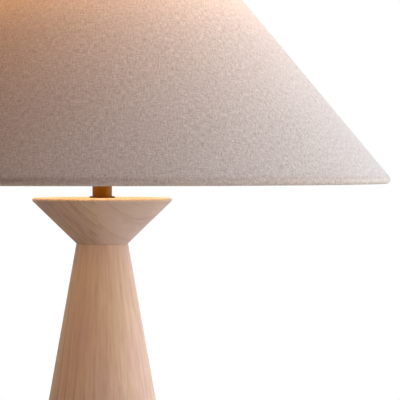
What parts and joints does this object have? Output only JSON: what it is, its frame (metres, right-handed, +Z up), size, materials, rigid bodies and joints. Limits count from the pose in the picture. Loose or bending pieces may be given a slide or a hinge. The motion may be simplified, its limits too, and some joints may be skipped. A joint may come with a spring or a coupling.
{
  "type": "table lamp",
  "caption": "Table lamp with a conical turned-wood column, a flared wooden capital, a short brass neck and a wide linen cone shade on a wire harp.",
  "frame": {"origin": "centre of the felt pad's underside, on the surface the lamp stands on", "axes": "+Z up the lamp's axis, -Y towards the viewer and the switch knob, +X to the viewer's right"},
  "size_m": [0.559, 0.559, 0.6765],
  "materials": {
    "felt": "pressed wool felt",
    "cast_iron": "as cast",
    "wood": "oiled, satin",
    "nylon": "moulded",
    "zinc_steel": "zinc plated",
    "brass": "brushed and lacquered",
    "fibre": "pressed insulating fibre",
    "phenolic": "moulded",
    "aluminium": "drawn",
    "vitrite": "pressed black glass",
    "frosted_glass": "etched inside",
    "clear_glass": "fire polished",
    "phosphor": "phosphor coated",
    "linen": "woven linen",
    "styrene": "extruded sheet",
    "white_wire": "powder coated"
  },
  "bodies": {
    "lamp": {"felt_pad": "felt", "base_weight": "cast_iron", "column": "wood", "cord_bushing": "nylon", "capital": "wood", "lamp_pipe": "zinc_steel", "pipe_washer": "zinc_steel", "pipe_nut": "zinc_steel", "check_ring": "brass", "neck": "brass", "harp_saddle": "brass", "harp_bow": "brass", "harp_stud": "brass", "socket_cap": "brass", "socket_shell": "brass", "shell_liner": "fibre", "socket_core": "phenolic", "terminal_screws": "zinc_steel", "screw_shell": "brass", "centre_contact": "brass"},
    "switch": {"switch_spindle": "brass", "switch_knob": "phenolic"},
    "ferrule_left": {"ferrule_left": "brass"},
    "ferrule_right": {"ferrule_right": "brass"},
    "bulb": {"bulb_contact": "aluminium", "bulb_insulator": "vitrite", "bulb_base": "aluminium", "bulb_globe": "frosted_glass", "bulb_stem": "clear_glass", "bulb_filaments": "phosphor"},
    "shade": {"shade_cover": "linen", "shade_liner": "styrene", "bottom_ring": "white_wire", "top_ring": "white_wire", "spider_washer": "brass", "spider_arms": "brass"},
    "finial": {"finial": "brass"}
  },
  "joints": [
    {"name": "switch_turn", "type": "hinge", "parent": "lamp", "child": "switch", "pos_m": [0, -0.02, 0.471], "axis": [0, -1, 0], "continuous": true},
    {"name": "ferrule_left_lift", "type": "slide", "parent": "lamp", "child": "ferrule_left", "axis": [0, 0, 1], "range_m": [0, 0.014]},
    {"name": "ferrule_right_lift", "type": "slide", "parent": "lamp", "child": "ferrule_right", "axis": [0, 0, 1], "range_m": [0, 0.014]},
    {"name": "bulb_screw", "type": "hinge", "parent": "lamp", "child": "bulb", "pos_m": [0, 0, 0.498], "axis": [0, 0, 1], "range_deg": [0, 1440]},
    {"name": "shade_swivel", "type": "hinge", "parent": "lamp", "child": "shade", "pos_m": [0, 0, 0.651], "axis": [0, 0, 1], "continuous": true},
    {"name": "finial_screw", "type": "hinge", "parent": "lamp", "child": "finial", "pos_m": [0, 0, 0.653], "axis": [0, 0, 1], "range_deg": [0, 3600]}
  ]
}
